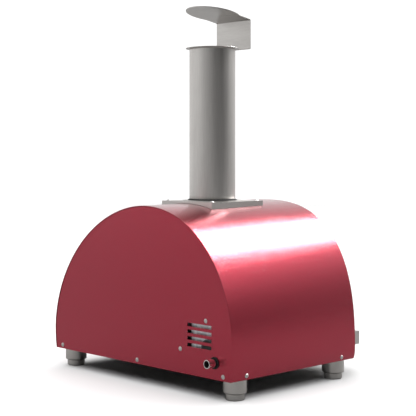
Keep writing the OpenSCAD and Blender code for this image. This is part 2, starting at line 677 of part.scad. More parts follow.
base_tray();
outer_vault();
rear_panel();
front_facade();
mouth_trim();
front_shelf();
inner_vault();
inner_rear_wall();
inner_front_wall();
fibre_blanket();
rear_insulation();
floor_insulation();
hearth_pan();
hearth_tile_left();
hearth_tile_right();
flame_guard();
flue_plate();
flue_spigot();
spigot_flange();
flue_gasket();
flue_pipe();
rain_cap();
foot_rear_right();
foot_rear_left();
foot_front_right();
foot_front_left();
pad_rear_right();
pad_rear_left();
pad_front_right();
pad_front_left();
burner_box();
louvre_baffle();
burner_tube();
burner_bracket();
gas_injector();
gas_inlet();
inlet_grommet();
inlet_nut();
supply_tube();
burner_feed_tube();
gas_valve();
valve_stem();
control_knob();
igniter_body();
igniter_button();
ignition_lead();
spark_electrode();
thermocouple();
thermometer_case();
thermometer_dial();
thermometer_needle();
thermometer_glass();
rear_screws();
side_screws();
plate_screws();
facade_screws();
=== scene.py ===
import bpy
import bmesh
import json
import math
from mathutils import Matrix, Vector

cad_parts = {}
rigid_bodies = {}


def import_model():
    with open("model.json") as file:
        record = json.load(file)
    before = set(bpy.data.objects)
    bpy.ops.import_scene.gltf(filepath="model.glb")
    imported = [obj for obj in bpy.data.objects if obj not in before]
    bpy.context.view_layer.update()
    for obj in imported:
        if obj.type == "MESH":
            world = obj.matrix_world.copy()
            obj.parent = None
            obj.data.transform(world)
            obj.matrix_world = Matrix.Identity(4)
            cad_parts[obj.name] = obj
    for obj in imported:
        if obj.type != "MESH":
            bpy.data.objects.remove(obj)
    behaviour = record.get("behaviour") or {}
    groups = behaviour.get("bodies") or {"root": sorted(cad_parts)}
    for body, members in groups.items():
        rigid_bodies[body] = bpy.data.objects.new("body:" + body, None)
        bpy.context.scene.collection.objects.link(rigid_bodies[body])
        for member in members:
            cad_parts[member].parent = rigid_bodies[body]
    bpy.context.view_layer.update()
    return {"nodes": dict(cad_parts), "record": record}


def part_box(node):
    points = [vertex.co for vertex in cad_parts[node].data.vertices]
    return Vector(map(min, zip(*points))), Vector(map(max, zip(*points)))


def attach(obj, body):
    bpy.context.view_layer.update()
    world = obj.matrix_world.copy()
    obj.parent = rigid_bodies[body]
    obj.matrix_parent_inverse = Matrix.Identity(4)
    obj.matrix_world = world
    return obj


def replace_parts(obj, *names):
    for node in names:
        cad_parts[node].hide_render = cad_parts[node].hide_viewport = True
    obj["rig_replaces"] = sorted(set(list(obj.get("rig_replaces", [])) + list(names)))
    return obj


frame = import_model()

mm = 0.001
scene = bpy.context.scene
slotOf = {part["node"]: part["material_slot"] for part in frame["record"]["subparts"]}
bodyOf = {node: body for body, nodes in frame["record"]["behaviour"]["bodies"].items() for node in nodes}


# place in metres, turn in degrees, lens in millimetres; the shift lowers the view
camera = {"place": (-1.7364, 1.6933, 0.4695), "turn": 225.794, "lens": 95.24, "shift": -0.125, "far": 100}


def makeCamera():
    data = bpy.data.cameras.new("ovenCamera")
    data.lens = camera["lens"]
    data.shift_y = camera["shift"]
    data.clip_end = camera["far"]
    eye = bpy.data.objects.new("ovenCamera", data)
    eye.location = camera["place"]
    eye.rotation_euler = (math.radians(90), 0, math.radians(camera["turn"]))
    scene.collection.objects.link(eye)
    scene.camera = eye
    print("camera placed")


studio = {
    "floor": 13.0,
    "floorTone": 0.93,
    "floorMirror": 0.33,
    "white": 1.15,
    # how bright the studio looks to a gloss that faces from the +X side round to the -X side
    "darkSide": (-0.999, 0.03, 0),
    "tones": [(0.0, 0.90), (0.35, 0.80), (0.45, 0.62), (0.6, 0.46), (0.78, 0.32), (0.88, 0.20), (1.0, 0.05)],
    # the soft edge of the long light
    "glow": {"way": (-0.30, -0.72, 0.62), "power": 14.0, "strength": 1.5},
    # matt surfaces get light from steep directions only: none up to the first height, all from the second
    "fade": (0.5, 0.9),
    "softboxes": {
        "bandBox": {"place": (-0.49, -2.3, 2.70), "target": (-0.15, 0.0, 0.3), "wide": 1.14, "high": 1.7,
                    "watts": 175, "diffuse": False, "glossy": True},
        "overhead": {"place": (0, 0, 6), "target": (0, 0, 0), "wide": 16, "high": 16,
                     "watts": 1150, "diffuse": True, "glossy": False}},
}


def makeFloor():
    bpy.ops.mesh.primitive_plane_add(size=studio["floor"])
    floor = bpy.context.object
    floor.name = "floor"
    floor.data.materials.append(paleFloor())


def makeSoftbox(name, box):
    data = bpy.data.lights.new(name, "AREA")
    data.shape = "RECTANGLE"
    data.size = box["wide"]
    data.size_y = box["high"]
    data.energy = box["watts"]
    lamp = bpy.data.objects.new(name, data)
    lamp.location = box["place"]
    aim = Vector(box["target"]) - Vector(box["place"])
    lamp.rotation_euler = aim.to_track_quat("-Z", "Y").to_euler()
    lamp.visible_diffuse = box["diffuse"]
    lamp.visible_glossy = box["glossy"]
    scene.collection.objects.link(lamp)


def makeWorld():
    world = bpy.data.worlds.new("paleStudio")
    scene.world = world
    world.use_nodes = True
    world.cycles.sampling_method = "NONE"
    tree = world.node_tree
    tree.nodes.clear()
    ray = addNode(tree, "TexCoord").outputs["Generated"]
    # the gloss sees a studio that is darker to one side
    stops = [(at, (tone, tone, tone, 1)) for at, tone in studio["tones"]]
    tone = ramp(tree, spread(tree, facing(tree, ray, studio["darkSide"]), -1, 1), stops)
    near = maths(tree, "MAXIMUM", facing(tree, ray, studio["glow"]["way"]), 0.0)
    soft = maths(tree, "POWER", near, studio["glow"]["power"])
    mirror = addShare(tree, tone, soft, studio["glow"]["strength"])
    # other light comes from above, so that it leaves the floor under the oven dark
    height = addNode(tree, "SeparateXYZ", {0: ray}).outputs[2]
    above = spread(tree, height, *studio["fade"])
    path = addNode(tree, "LightPath")
    strength = addNode(tree, "Mix", {0: path.outputs["Is Glossy Ray"], 2: above, 3: mirror}).outputs[0]
    glow = addNode(tree, "Background", {"Color": (1, 1, 1, 1), "Strength": strength})
    # the camera sees plain white
    plain = addNode(tree, "Background", {"Color": (1, 1, 1, 1), "Strength": studio["white"]})
    seen = path.outputs["Is Camera Ray"]
    mix = addNode(tree, "MixShader", {0: seen, 1: glow.outputs[0], 2: plain.outputs[0]})
    out = addNode(tree, "OutputWorld", {"Surface": mix.outputs[0]})
    out.is_active_output = True
    scene.view_settings.view_transform = "Standard"


def makeStudio():
    makeFloor()
    for name, box in studio["softboxes"].items():
        makeSoftbox(name, box)
    makeWorld()
    print("studio made")


# small helpers for shader nodes

def put(tree, socket, value):
    if isinstance(value, bpy.types.NodeSocket):
        tree.links.new(value, socket)
    else:
        socket.default_value = value


def addNode(tree, kind, values=None, **settings):
    node = tree.nodes.new("ShaderNode" + kind)
    for name, value in settings.items():
        setattr(node, name, value)
    for name, value in (values or {}).items():
        put(tree, node.inputs[name], value)
    return node


def maths(tree, operation, a, b=0.0, clamp=False):
    node = addNode(tree, "Math", {0: a, 1: b}, operation=operation)
    node.use_clamp = clamp
    return node.outputs[0]


def part(tree, mask, share):
    return maths(tree, "MULTIPLY", mask, share)


def addShare(tree, value, mask, share):
    return maths(tree, "ADD", value, part(tree, mask, share))


def blendColour(tree, share, a, b):
    node = addNode(tree, "Mix", {0: share, 6: a, 7: b}, data_type="RGBA")
    return node.outputs[2]


def spread(tree, value, low, high, toLow=0.0, toHigh=1.0):
    node = addNode(tree, "MapRange", {0: value, 1: low, 2: high, 3: toLow, 4: toHigh})
    return node.outputs[0]


def ramp(tree, value, stops):
    node = addNode(tree, "ValToRGB", {0: value})
    elements = node.color_ramp.elements
    while len(elements) < len(stops):
        elements.new(0.5)
    for element, (place, colour) in zip(elements, stops):
        element.position = place
        element.color = colour
    return node.outputs[0]


def facing(tree, vector, way):
    node = addNode(tree, "VectorMath", {0: vector, 1: way}, operation="DOT_PRODUCT")
    return node.outputs["Value"]


def ownPlace(tree):
    return addNode(tree, "TexCoord").outputs["Object"]


def noise(tree, place, scale, detail, roughness=0.5, distortion=0.0):
    node = addNode(tree, "TexNoise", {"Vector": place, "Scale": scale, "Detail": detail,
                                      "Roughness": roughness, "Distortion": distortion})
    return node.outputs[0]


# effects that several materials share: each builder puts out its named values

effects = {}


def effect(name, build, inputs, outputs):
    group = bpy.data.node_groups.new(name, "ShaderNodeTree")
    for label, value in inputs.items():
        kind = "Vector" if isinstance(value, tuple) else "Float"
        socket = group.interface.new_socket(label, in_out="INPUT", socket_type="NodeSocket" + kind)
        socket.default_value = value
    for label, kind in outputs.items():
        group.interface.new_socket(label, in_out="OUTPUT", socket_type="NodeSocket" + kind)
    source = group.nodes.new("NodeGroupInput")
    sink = group.nodes.new("NodeGroupOutput")
    for label, socket in build(group, source.outputs).items():
        group.links.new(socket, sink.inputs[label])
    effects[name] = group


def use(tree, name, values=None):
    node = tree.nodes.new("ShaderNodeGroup")
    node.node_tree = effects[name]
    for label, value in (values or {}).items():
        put(tree, node.inputs[label], value)
    return node.outputs


def edgeWear(tree, given):
    soft = addNode(tree, "Bevel", {"Radius": given["Width"]}, samples=4)
    plain = addNode(tree, "NewGeometry")
    edge = spread(tree, facing(tree, soft.outputs[0], plain.outputs["Normal"]), 0.98, 0.75)
    broken = spread(tree, noise(tree, ownPlace(tree), given["Scale"], 4.0), 0.42, 0.68)
    return {"Mask": maths(tree, "MULTIPLY", edge, part(tree, broken, given["Amount"]), clamp=True)}


def orangePeel(tree, given):
    place = ownPlace(tree)
    waves = noise(tree, place, given["Scale"], 1.5, 0.4)
    finer = part(tree, given["Scale"], 1.7)
    grit = addNode(tree, "TexVoronoi", {"Vector": place, "Scale": finer}, feature="SMOOTH_F1")
    return {"Height": addShare(tree, waves, grit.outputs[0], given["Grit"])}


def metalFlakes(tree, given):
    cells = addNode(tree, "TexVoronoi", {"Vector": ownPlace(tree), "Scale": given["Scale"]}).outputs["Color"]
    lean = addNode(tree, "VectorMath", {0: cells, 1: (0.5, 0.5, 0.5)}, operation="SUBTRACT")
    sized = addNode(tree, "VectorMath", {0: lean.outputs[0], "Scale": given["Lean"]}, operation="SCALE")
    both = addNode(tree, "VectorMath", {0: given["Normal"], 1: sized.outputs[0]}, operation="ADD")
    normal = addNode(tree, "VectorMath", {0: both.outputs[0]}, operation="NORMALIZE")
    shade = addNode(tree, "SeparateColor", {0: cells})
    return {"Normal": normal.outputs[0], "Shade": shade.outputs[0]}


def brushedGrain(tree, given):
    lines = addNode(tree, "Mapping", {"Vector": ownPlace(tree), "Scale": given["Stretch"]}).outputs[0]
    fine = noise(tree, lines, given["Scale"], 5.0, 0.65)
    broad = noise(tree, lines, part(tree, given["Scale"], 0.12), 3.0)
    return {"Grain": spread(tree, fine, 0.25, 0.75), "Bands": spread(tree, broad, 0.3, 0.7)}


def smudges(tree, given):
    cloud = noise(tree, ownPlace(tree), given["Scale"], 6.0, 0.6, 0.6)
    return {"Mask": spread(tree, cloud, 0.38, 0.66)}


def turnedLines(tree, given):
    far = part(tree, facing(tree, ownPlace(tree), given["Axis"]), given["Scale"])
    rings = addNode(tree, "TexNoise", {"W": far, "Scale": 1.0, "Detail": 3.0}, noise_dimensions="1D")
    return {"Height": rings.outputs[0]}


def makeEffects():
    effect("edgeWear", edgeWear, {"Width": 0.8 * mm, "Scale": 220.0, "Amount": 1.0}, {"Mask": "Float"})
    effect("orangePeel", orangePeel, {"Scale": 420.0, "Grit": 0.3}, {"Height": "Float"})
    effect("metalFlakes", metalFlakes, {"Scale": 900.0, "Lean": 0.12, "Normal": (0, 0, 1)},
           {"Normal": "Vector", "Shade": "Float"})
    effect("brushedGrain", brushedGrain, {"Stretch": (1, 1, 0.02), "Scale": 900.0},
           {"Grain": "Float", "Bands": "Float"})
    effect("smudges", smudges, {"Scale": 14.0}, {"Mask": "Float"})
    effect("turnedLines", turnedLines, {"Axis": (0, 0, 1), "Scale": 2500.0}, {"Height": "Float"})
    print("shared effects ready:", ", ".join(effects))


# helpers for materials

def begin(name):
    material = bpy.data.materials.new(name)
    material.use_nodes = True
    tree = material.node_tree
    tree.nodes.clear()
    shader = tree.nodes.new("ShaderNodeBsdfPrincipled")
    out = tree.nodes.new("ShaderNodeOutputMaterial")
    tree.links.new(shader.outputs[0], out.inputs["Surface"])
    return material, tree, shader


def finish(tree, shader, values):
    for name, value in values.items():
        put(tree, shader.inputs[name], value)


def bump(tree, height, depth, strength=1.0, normal=None):
    node = addNode(tree, "Bump", {"Height": height, "Distance": depth, "Strength": strength})
    if normal is not None:
        put(tree, node.inputs["Normal"], normal)
    return node.outputs[0]


def clouds(tree, scale):
    return use(tree, "smudges", {"Scale": scale})["Mask"]


def paler(colour, times, lift=0.0):
    return tuple(min(1.0, c * times + lift) for c in colour[:3]) + (1,)


def grey(tone):
    return (tone, tone, tone, 1)


def paleFloor():
    material, tree, shader = begin("paleFloor")
    tone = studio["floorTone"]
    colour = blendColour(tree, clouds(tree, 1.3), grey(tone), (tone * 0.995, tone * 0.995, tone, 1))
    # what the gloss of the oven sees is a darker floor
    path = addNode(tree, "LightPath")
    colour = blendColour(tree, path.outputs["Is Glossy Ray"], colour, grey(studio["floorMirror"]))
    finish(tree, shader, {"Base Color": colour, "Roughness": 0.7, "Specular IOR Level": 0.1})
    return material


redPowder = {"deep": (0.37, 0.014, 0.038, 1), "bright": (0.48, 0.023, 0.054, 1),
             "bare": (0.25, 0.03, 0.035, 1), "metallic": 0.9, "roughness": 0.20,
             "flake": 1500.0, "lean": 0.12, "peel": 330.0,
             "coat": 0.75, "coatRoughness": 0.07}


def makeRedPowder():
    material, tree, shader = begin("redPowder")
    geometry = addNode(tree, "NewGeometry")
    flake = use(tree, "metalFlakes", {"Scale": redPowder["flake"], "Lean": redPowder["lean"],
                                      "Normal": geometry.outputs["Normal"]})
    colour = blendColour(tree, flake["Shade"], redPowder["deep"], redPowder["bright"])
    cloud = clouds(tree, 5.0)
    colour = blendColour(tree, part(tree, cloud, 0.12), colour, redPowder["deep"])
    worn = use(tree, "edgeWear", {"Width": 0.9 * mm, "Amount": 0.5})["Mask"]
    colour = blendColour(tree, worn, colour, redPowder["bare"])
    peel = use(tree, "orangePeel", {"Scale": redPowder["peel"], "Grit": 0.5})["Height"]
    finish(tree, shader, {
        "Base Color": colour, "Metallic": redPowder["metallic"],
        "Roughness": addShare(tree, redPowder["roughness"], cloud, 0.04),
        "Normal": bump(tree, peel, 0.1 * mm, 0.8, flake["Normal"]),
        "Coat Weight": redPowder["coat"], "Coat Roughness": redPowder["coatRoughness"],
        "Coat Normal": bump(tree, peel, 0.45 * mm)})
    return material


def brushedMetal(name, light, dark, roughness, stretch):
    material, tree, shader = begin(name)
    grain = use(tree, "brushedGrain", {"Stretch": stretch, "Scale": 900.0})
    colour = blendColour(tree, grain["Grain"], dark, light)
    cloud = clouds(tree, 11.0)
    colour = blendColour(tree, part(tree, cloud, 0.18), colour, dark)
    worn = use(tree, "edgeWear", {"Width": 0.7 * mm, "Amount": 0.6})["Mask"]
    colour = blendColour(tree, worn, colour, paler(light, 1.25))
    rough = addShare(tree, addShare(tree, roughness, grain["Bands"], 0.08), cloud, 0.05)
    finish(tree, shader, {"Base Color": colour, "Metallic": 1.0, "Roughness": rough,
                          "Normal": bump(tree, grain["Grain"], 0.02 * mm, 0.6)})
    return material


def turnedMetal(name, light, dark, roughness, axis=(0, 0, 1), lines=2500.0):
    material, tree, shader = begin(name)
    ring = use(tree, "turnedLines", {"Axis": axis, "Scale": lines})["Height"]
    colour = blendColour(tree, ring, dark, light)
    colour = blendColour(tree, part(tree, clouds(tree, 40.0), 0.15), colour, dark)
    worn = use(tree, "edgeWear", {"Width": 0.6 * mm, "Amount": 0.7})["Mask"]
    colour = blendColour(tree, worn, colour, paler(light, 1.3))
    finish(tree, shader, {"Base Color": colour, "Metallic": 1.0,
                          "Roughness": addShare(tree, roughness, ring, 0.1),
                          "Normal": bump(tree, ring, 0.03 * mm, 0.5)})
    return material


def grained(name, light, dark, roughness, scale=600.0, depth=0.08, wear=0.4, coat=0.0):
    # moulded, fired or painted surfaces with a fine grain, its depth in millimetres
    material, tree, shader = begin(name)
    grain = use(tree, "orangePeel", {"Scale": scale, "Grit": 0.8})["Height"]
    cloud = clouds(tree, 18.0)
    edge = use(tree, "edgeWear", {"Amount": wear})["Mask"]
    colour = blendColour(tree, edge, blendColour(tree, cloud, dark, light), paler(light, 1.6, 0.03))
    finish(tree, shader, {"Base Color": colour, "Roughness": addShare(tree, roughness, cloud, 0.1),
                          "Coat Weight": coat, "Normal": bump(tree, grain, depth * mm, 0.7)})
    return material


def makeZinc():
    material, tree, shader = begin("zincSheet")
    spangle = addNode(tree, "TexVoronoi", {"Vector": ownPlace(tree), "Scale": 120.0})
    shade = addNode(tree, "SeparateColor", {0: spangle.outputs["Color"]}).outputs[0]
    colour = blendColour(tree, shade, (0.52, 0.55, 0.57, 1), (0.78, 0.80, 0.82, 1))
    worn = use(tree, "edgeWear", {"Amount": 0.5})["Mask"]
    colour = blendColour(tree, worn, colour, (0.35, 0.36, 0.37, 1))
    finish(tree, shader, {"Base Color": colour, "Metallic": 0.9,
                          "Roughness": spread(tree, shade, 0, 1, 0.3, 0.5),
                          "Normal": bump(tree, shade, 0.01 * mm, 0.5)})
    return material


def makeFireClay():
    material, tree, shader = begin("fireClay")
    place = ownPlace(tree)
    pits = addNode(tree, "TexVoronoi", {"Vector": place, "Scale": 260.0}, feature="SMOOTH_F1")
    coarse = noise(tree, place, 90.0, 8.0, 0.7)
    bake = clouds(tree, 7.0)
    colour = blendColour(tree, coarse, (0.60, 0.47, 0.33, 1), (0.80, 0.70, 0.56, 1))
    colour = blendColour(tree, part(tree, bake, 0.35), colour, (0.30, 0.22, 0.15, 1))
    # the pits are sunk into the bump and also painted darker there: painted shade in the pits
    pitDepthAndShade = spread(tree, pits.outputs[0], 0.12, 0.0)
    colour = blendColour(tree, part(tree, pitDepthAndShade, 0.6), colour, (0.35, 0.25, 0.18, 1))
    height = maths(tree, "SUBTRACT", coarse, pitDepthAndShade)
    finish(tree, shader, {"Base Color": colour, "Roughness": addShare(tree, 0.82, bake, 0.1),
                          "Normal": bump(tree, height, 0.5 * mm, 0.8)})
    return material


def makeFibre(name, light, dark):
    material, tree, shader = begin(name)
    strands = noise(tree, ownPlace(tree), 240.0, 9.0, 0.75, 2.5)
    finish(tree, shader, {"Base Color": blendColour(tree, strands, dark, light),
                          "Roughness": spread(tree, strands, 0, 1, 0.85, 1.0),
                          "Normal": bump(tree, strands, 0.8 * mm, 0.9), "Sheen Weight": 0.2})
    return material


def makeRope():
    material, tree, shader = begin("graphiteRope")
    wave = addNode(tree, "TexWave", {"Vector": ownPlace(tree), "Scale": 120.0, "Distortion": 2.0},
                   wave_type="BANDS", bands_direction="DIAGONAL")
    twist = wave.outputs["Fac"]
    colour = blendColour(tree, twist, (0.015, 0.015, 0.016, 1), (0.09, 0.09, 0.095, 1))
    finish(tree, shader, {"Base Color": colour, "Roughness": spread(tree, twist, 0, 1, 0.75, 0.9),
                          "Normal": bump(tree, twist, 0.4 * mm)})
    return material


def makeHeatedSteel():
    material, tree, shader = begin("heatedLinerSteel")
    grain = use(tree, "brushedGrain", {"Stretch": (1, 0.05, 1), "Scale": 500.0})
    tint = noise(tree, ownPlace(tree), 4.0, 5.0)
    colour = ramp(tree, tint, [(0.35, (0.52, 0.51, 0.49, 1)), (0.5, (0.50, 0.42, 0.28, 1)),
                               (0.6, (0.36, 0.26, 0.30, 1)), (0.7, (0.45, 0.45, 0.46, 1))])
    colour = blendColour(tree, part(tree, grain["Grain"], 0.3), colour, (0.25, 0.24, 0.23, 1))
    finish(tree, shader, {"Base Color": colour, "Metallic": 0.95,
                          "Roughness": addShare(tree, 0.34, grain["Bands"], 0.15),
                          "Normal": bump(tree, grain["Grain"], 0.03 * mm, 0.5)})
    return material


def makeClearGlass():
    material, tree, shader = begin("clearGlass")
    finish(tree, shader, {"Base Color": (0.97, 0.99, 0.99, 1),
                          "Roughness": spread(tree, clouds(tree, 60.0), 0, 1, 0.01, 0.06),
                          "Transmission Weight": 1.0, "IOR": 1.45})
    return material


# name, light colour, dark colour, roughness, and which way the grain is drawn out
brushedFinishes = {
    "stainless": ("satinSteel", (0.67, 0.65, 0.625, 1), (0.56, 0.54, 0.52, 1), 0.27, (0.04, 1, 1)),
    "pipe_steel": ("satinPipeSteel", (0.67, 0.65, 0.625, 1), (0.56, 0.54, 0.52, 1), 0.28, (1, 1, 0.025)),
    "copper": ("drawnCopper", (0.80, 0.45, 0.30, 1), (0.58, 0.28, 0.18, 1), 0.28, (1, 0.05, 1))}

# name, light colour, dark colour, roughness, and what differs from lines round an upright axis
turnedFinishes = {
    "foot_steel": ("turnedFootSteel", (0.66, 0.64, 0.61, 1), (0.46, 0.44, 0.42, 1), 0.28, {}),
    "pad_steel": ("turnedPadSteel", (0.62, 0.60, 0.575, 1), (0.42, 0.405, 0.39, 1), 0.30, {}),
    "brass": ("turnedBrass", (0.80, 0.62, 0.30, 1), (0.60, 0.44, 0.20, 1), 0.25, {"axis": (0, 1, 0)}),
    "nipple": ("platedNipple", (0.86, 0.85, 0.83, 1), (0.74, 0.73, 0.71, 1), 0.07, {"axis": (0, 1, 0)}),
    "screw_steel": ("brightScrewSteel", (0.80, 0.79, 0.77, 1), (0.62, 0.61, 0.60, 1), 0.5,
                    {"lines": 4000.0})}

# name, light colour, dark colour, roughness, and what differs from the usual grain
grainedFinishes = {
    "tray_steel": ("blackTraySteel", (0.05, 0.05, 0.054, 1), (0.03, 0.03, 0.032, 1), 0.5, {"wear": 0.3}),
    "rubber": ("matRubber", grey(0.010), grey(0.006), 0.75, {"wear": 0.1}),
    "black_plastic": ("texturedPlastic", (0.03, 0.03, 0.031, 1), (0.02, 0.02, 0.021, 1), 0.42,
                      {"scale": 1500.0}),
    "button_plastic": ("glossPlastic", (0.045, 0.045, 0.047, 1), (0.03, 0.03, 0.031, 1), 0.18,
                       {"depth": 0.01, "coat": 0.4}),
    "lead": ("siliconeSleeve", (0.35, 0.05, 0.04, 1), (0.24, 0.035, 0.03, 1), 0.5, {"depth": 0.02}),
    "porcelain": ("glazedPorcelain", (0.90, 0.89, 0.85, 1), (0.84, 0.83, 0.79, 1), 0.16,
                  {"depth": 0.01, "coat": 0.5}),
    "dial": ("dialEnamel", (0.90, 0.90, 0.86, 1), (0.84, 0.84, 0.80, 1), 0.35, {"depth": 0.005}),
    "needle": ("needleBlack", grey(0.03), grey(0.02), 0.35, {"depth": 0.005}),
    "tick": ("printedBlack", grey(0.02), grey(0.015), 0.4, {"depth": 0.005}),
    "white": ("whiteMark", (0.82, 0.82, 0.80, 1), (0.74, 0.74, 0.72, 1), 0.4, {"depth": 0.01}),
    # a near-black finish for painted shade inside holes
    "slotDark": ("paintedShadeBlack", grey(0.012), grey(0.008), 0.7, {"depth": 0.01})}

materials = {}


def makeMaterials():
    materials["red_paint"] = makeRedPowder()
    materials["liner_steel"] = makeHeatedSteel()
    materials["galvanised"] = makeZinc()
    materials["tile"] = makeFireClay()
    materials["fibre"] = makeFibre("ceramicFibre", (0.9, 0.89, 0.85, 1), (0.74, 0.72, 0.67, 1))
    materials["board"] = makeFibre("silicateBoard", (0.84, 0.81, 0.74, 1), (0.72, 0.69, 0.62, 1))
    materials["gasket"] = makeRope()
    materials["glass"] = makeClearGlass()
    for slot, values in brushedFinishes.items():
        materials[slot] = brushedMetal(*values)
    for slot, (name, light, dark, roughness, extra) in turnedFinishes.items():
        materials[slot] = turnedMetal(name, light, dark, roughness, **extra)
    for slot, (name, light, dark, roughness, extra) in grainedFinishes.items():
        materials[slot] = grained(name, light, dark, roughness, **extra)
    print("materials ready:", len(materials))


# helpers for meshes

def newPiece(name, bm, finishName, body, replaced=(), sharp=38.0):
    bmesh.ops.recalc_face_normals(bm, faces=bm.faces)
    for face in bm.faces:
        face.smooth = True
    limit = math.radians(sharp)
    for edge in bm.edges:
        if len(edge.link_faces) == 2:
            edge.smooth = edge.calc_face_angle(0.0) < limit
    mesh = bpy.data.meshes.new(name)
    bm.to_mesh(mesh)
    bm.free()
    piece = bpy.data.objects.new(name, mesh)
    scene.collection.objects.link(piece)
    mesh.materials.append(materials[finishName])
    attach(piece, body)
    if replaced:
        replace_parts(piece, *replaced)
    return piece


def roundBox(node):
    # lowest and highest corners, centre, and the radius seen along Y or Z
    low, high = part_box(node)
    return low, high, (low + high) / 2, (high.x - low.x) / 2


def rounded(points, steps=4):
    # rounds the corners of an outline: a point is (radius, height) or (radius, height, fillet)
    out = []
    for i, point in enumerate(points):
        fillet = point[2] if len(point) > 2 else 0.0
        here = Vector(point[:2])
        if fillet == 0 or i in (0, len(points) - 1):
            out.append(here)
            continue
        back = Vector(points[i - 1][:2]) - here
        on = Vector(points[i + 1][:2]) - here
        reach = min(fillet / math.tan(back.angle(on) / 2), back.length * 0.49, on.length * 0.49)
        a = here + back.normalized() * reach
        b = here + on.normalized() * reach
        for j in range(steps + 1):
            t = j / steps
            out.append(a * (1 - t) ** 2 + here * 2 * t * (1 - t) + b * t ** 2)
    return out


def lathe(bm, profile, centre, axis="Z", turns=96, shape=None, closed=False):
    # turns (radius, height) points about an axis; shape(angle, radius, height) may change the radius
    c = Vector(centre)
    rings = []
    for r, h in profile:
        ring = []
        for i in range(turns if r > 1e-7 else 1):
            a = 2 * math.pi * i / turns
            q = shape(a, r, h) if shape else r
            u, v = q * math.cos(a), q * math.sin(a)
            spot = {"X": (h, u, v), "Y": (u, h, v), "Z": (u, v, h)}[axis]
            ring.append(bm.verts.new(c + Vector(spot)))
        rings.append(ring)
    pairs = list(zip(rings, rings[1:])) + ([(rings[-1], rings[0])] if closed else [])
    for one, two in pairs:
        for i in range(turns):
            j = (i + 1) % turns
            corners = [one[i % len(one)], one[j % len(one)], two[j % len(two)], two[i % len(two)]]
            kept = [v for k, v in enumerate(corners) if v not in corners[:k]]
            if len(kept) > 2:
                bm.faces.new(kept)


def turned(name, profile, centre, axis, finishName, body, replaced=(), slot=None, **extra):
    bm = bmesh.new()
    lathe(bm, profile, centre, axis, **extra)
    return newPiece(name, bm, finishName, body, replaced)


def softEdges(piece, width, segments=2, angle=32.0):
    edge = piece.modifiers.new("softEdges", "BEVEL")
    edge.width = width
    edge.segments = segments
    edge.limit_method = "ANGLE"
    edge.angle_limit = math.radians(angle)
    edge.use_clamp_overlap = True
    edge.harden_normals = True


# crownOff is how far the crown stands to the -X side, 1 is the +X side and -1 the -X side
vault = {"crownOff": 26.4 * mm, "flare": 2.5 * mm, "rise": 3.5 * mm, "tuck": 4 * mm, "sheet": 1.5 * mm,
         "springs": {1: 44.8 * mm, -1: 61.3 * mm}, "springFront": 20 * mm,
         "powers": {1: 1.88, -1: 2.07}, "powersFront": {1: 2.3, -1: 2.55},
         "rows": 36, "columns": 60, "way": 52 * mm, "wayDepth": 40 * mm, "edge": 0.45 * mm}


def vaultOutline(share, inset, halfWidth, height, base):
    # the arch at a share of the depth, 0 at the rear: from the lower edge on the -X side over the crown
    def side(s):
        spring = vault["springs"][s] + (vault["springFront"] - vault["springs"][s]) * share
        power = 2 / (vault["powers"][s] + (vault["powersFront"][s] - vault["powers"][s]) * share)
        reach = halfWidth + share * vault["flare"] + s * vault["crownOff"] - inset
        rise = height + share * vault["rise"] - inset - spring
        points = []
        for i in range(5):
            q = 1 - i / 5
            points.append((-vault["crownOff"] + s * (reach - vault["tuck"] * q * q), base + spring * i / 5))
        for i in range(vault["columns"] + 1):
            u = math.pi / 2 * i / vault["columns"]
            points.append((-vault["crownOff"] + s * reach * max(0.0, math.cos(u)) ** power,
                           base + spring + rise * math.sin(u) ** power))
        return points

    right, left = side(-1), side(1)
    return right + left[-2::-1]


def makeVault():
    low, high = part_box("outer_vault")
    plateLow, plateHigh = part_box("flue_plate")
    plate = (plateLow + plateHigh) / 2
    halfWidth = high.x - vault["flare"]
    height = high.z - low.z - vault["rise"]
    bm = bmesh.new()

    def surface(inset):
        grid = []
        for j in range(vault["rows"] + 1):
            share = j / vault["rows"]
            y = high.y + (low.y - high.y) * share
            outline = vaultOutline(share, inset, halfWidth, height, low.z)
            grid.append([bm.verts.new((x, y, z)) for x, z in outline])
        return grid

    outside = surface(0)
    inside = surface(vault["sheet"])
    last = len(outside[0]) - 1

    def wall(one, two):
        (a, b), (c, d) = one, two
        bm.faces.new((outside[a][b], outside[c][d], inside[c][d], inside[a][b]))

    def isOpen(j, i):
        # the way for the flue, under its plate
        spot = (outside[j][i].co + outside[j + 1][i + 1].co) / 2
        nearTop = spot.z > plate.z - vault["wayDepth"]
        return nearTop and math.hypot(spot.x - plate.x, spot.y - plate.y) < vault["way"]

    for j in range(vault["rows"]):
        for i in range(last):
            corners = [(j, i), (j, i + 1), (j + 1, i + 1), (j + 1, i)]
            if not isOpen(j, i):
                for grid in (outside, inside):
                    bm.faces.new([grid[a][b] for a, b in corners])
                continue
            # a wall wherever the cell over that side is closed
            for k, (down, across) in enumerate(((-1, 0), (0, 1), (1, 0), (0, -1))):
                if not isOpen(j + down, i + across):
                    wall(corners[k], corners[(k + 1) % 4])
    for j in (0, vault["rows"]):
        for i in range(last):
            wall((j, i), (j, i + 1))
    for i in (0, last):
        for j in range(vault["rows"]):
            wall((j, i), (j + 1, i))
    shell = newPiece("vaultShell", bm, "red_paint", bodyOf["outer_vault"], ["outer_vault"])
    softEdges(shell, vault["edge"], angle=50)
    print("vault made")


pipe = {"wall": 1.5 * mm, "rim": 0.7 * mm, "turns": 160}


def makeFluePipe():
    low, high, c, r = roundBox("flue_pipe")
    inner = r - pipe["wall"]
    edge = pipe["rim"]
    profile = [(inner, low.z), (inner, high.z - edge), (inner + edge * 0.4, high.z - 0.2 * edge),
               (r - edge * 0.4, high.z), (r, high.z - edge * 0.6), (r, high.z - 3 * mm),
               (r, (low.z + high.z) / 2), (r, low.z + 8 * mm), (r, low.z + edge), (r - edge * 0.6, low.z)]
    turned("fluePipe", profile, (c.x, c.y, 0), "Z", "pipe_steel", "flue", ["flue_pipe"], "stainless",
           turns=pipe["turns"], closed=True)
    print("flue pipe made")


